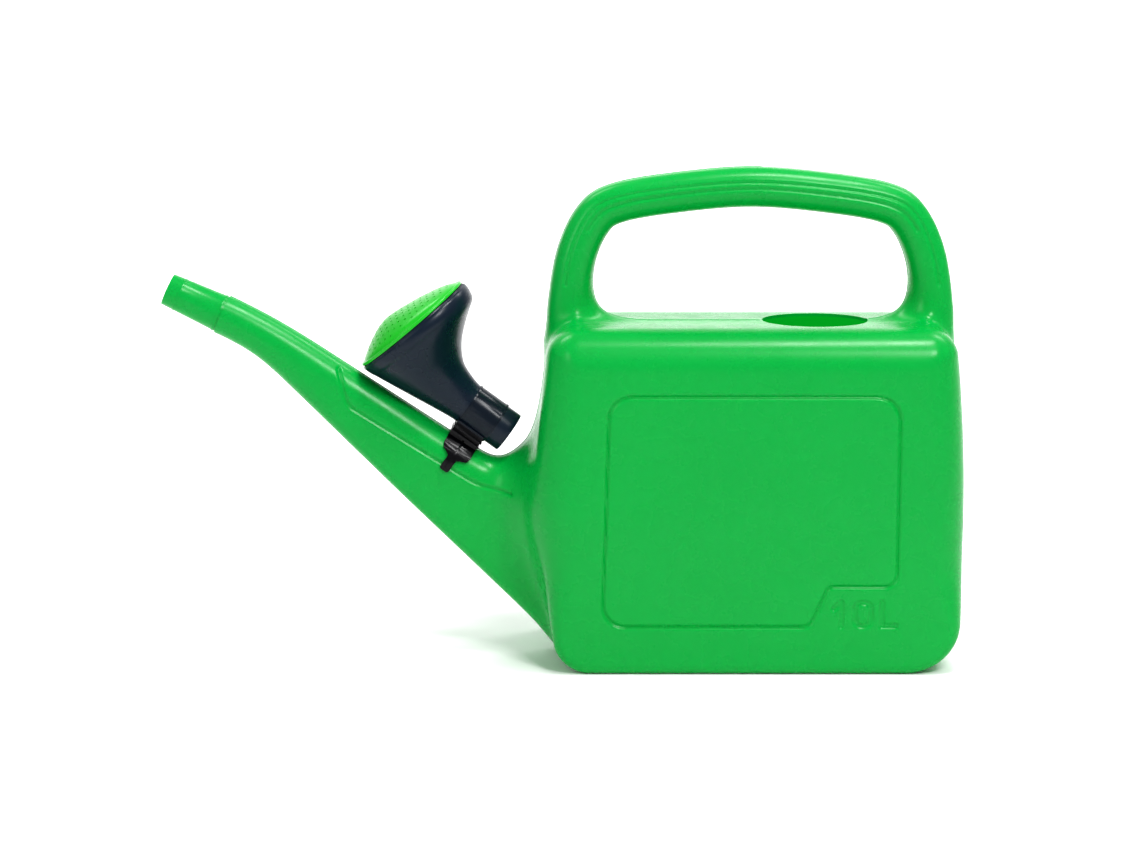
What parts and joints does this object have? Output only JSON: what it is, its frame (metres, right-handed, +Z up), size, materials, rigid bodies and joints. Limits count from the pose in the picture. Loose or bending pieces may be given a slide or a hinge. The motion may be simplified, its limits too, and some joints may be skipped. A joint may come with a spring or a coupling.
{
  "type": "watering can",
  "caption": "Hollow plastic watering can with a loop handle and a long tapered spout, and a sprinkler rose parked above the spout in a clip.",
  "frame": {"origin": "on the ground, under the middle of the tank's flat base", "axes": "+X towards the tank's end, away from the spout; +Y towards the back face, so that the face with the capacity mark looks along -Y; +Z up"},
  "size_m": [0.595, 0.146, 0.3655],
  "materials": {
    "can_green": "satin-gloss blow-moulded polyethylene, mid green",
    "face_green": "glossy injection-moulded polypropylene, yellow-green",
    "rose_black": "satin injection-moulded polypropylene, blue-black",
    "clip_black": "glossy injection-moulded polypropylene, black"
  },
  "bodies": {
    "can": {"tank": "can_green", "handle": "can_green", "spout": "can_green", "spout_tip": "can_green"},
    "clip": {"rose_clip": "clip_black"},
    "rose": {"rose_funnel": "rose_black"},
    "face": {"rose_face": "face_green"}
  },
  "joints": [
    {"name": "clip_lift", "type": "slide", "parent": "can", "child": "clip", "axis": [0, 0, 1], "range_m": [0, 0.05]},
    {"name": "rose_pull_out", "type": "slide", "parent": "clip", "child": "rose", "axis": [-0.809, 0, 0.5878], "range_m": [0, 0.06]},
    {"name": "rose_face_pull_off", "type": "slide", "parent": "rose", "child": "face", "axis": [-0.6252, 0, 0.7804], "range_m": [0, 0.025]}
  ]
}
